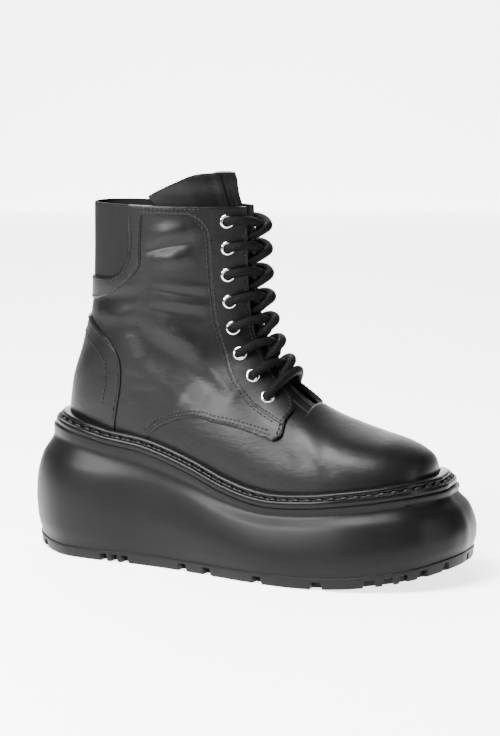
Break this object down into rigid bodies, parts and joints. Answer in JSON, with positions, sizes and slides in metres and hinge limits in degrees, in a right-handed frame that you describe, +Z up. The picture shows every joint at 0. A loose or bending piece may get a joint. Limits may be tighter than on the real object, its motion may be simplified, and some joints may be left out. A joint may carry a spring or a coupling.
{
  "type": "platform boot",
  "caption": "Right-foot lace-up ankle boot with a hollow leather upper, an elastic gore, a zip on the inner side and a thick sculpted platform sole with edge lugs.",
  "frame": {"origin": "on the floor, under the middle of the sole's length and width", "axes": "+X to the toe, +Y to the wearer's left (the inner side of this right boot), +Z up"},
  "size_m": [0.303, 0.1227, 0.252],
  "materials": {
    "leather": "smooth black leather, semi-gloss",
    "platform": "smooth satin black moulded foam rubber",
    "tread": "matt dark rubber",
    "lining": "matt dark lining",
    "elastic": "ribbed black elastic",
    "cord": "woven black cord",
    "chrome": "polished"
  },
  "bodies": {
    "boot": {"outsole": "tread", "platform": "platform", "welt": "platform", "insole": "lining", "upper": "leather", "tongue": "leather", "elastic_gore": "elastic", "heel_counter": "leather", "eyelet_outer_1": "chrome", "eyelet_outer_2": "chrome", "eyelet_outer_3": "chrome", "eyelet_outer_4": "chrome", "eyelet_outer_5": "chrome", "eyelet_outer_6": "chrome", "eyelet_outer_7": "chrome", "eyelet_outer_8": "chrome", "eyelet_inner_1": "chrome", "eyelet_inner_2": "chrome", "eyelet_inner_3": "chrome", "eyelet_inner_4": "chrome", "eyelet_inner_5": "chrome", "eyelet_inner_6": "chrome", "eyelet_inner_7": "chrome", "eyelet_inner_8": "chrome", "lace_crossing_1": "cord", "lace_crossing_2": "cord", "lace_crossing_3": "cord", "lace_crossing_4": "cord", "lace_crossing_5": "cord", "lace_crossing_6": "cord", "lace_crossing_7": "cord", "lace_bar": "cord", "zip_chain": "cord", "zip_slider": "chrome"},
    "zip_pull": {"zip_pull_tab": "chrome"}
  },
  "joints": [
    {"name": "zip_pull_swing", "type": "hinge", "parent": "boot", "child": "zip_pull", "pos_m": [-0.042, 0.0272, 0.2265], "axis": [1, 0, 0], "range_deg": [0, 150]}
  ]
}
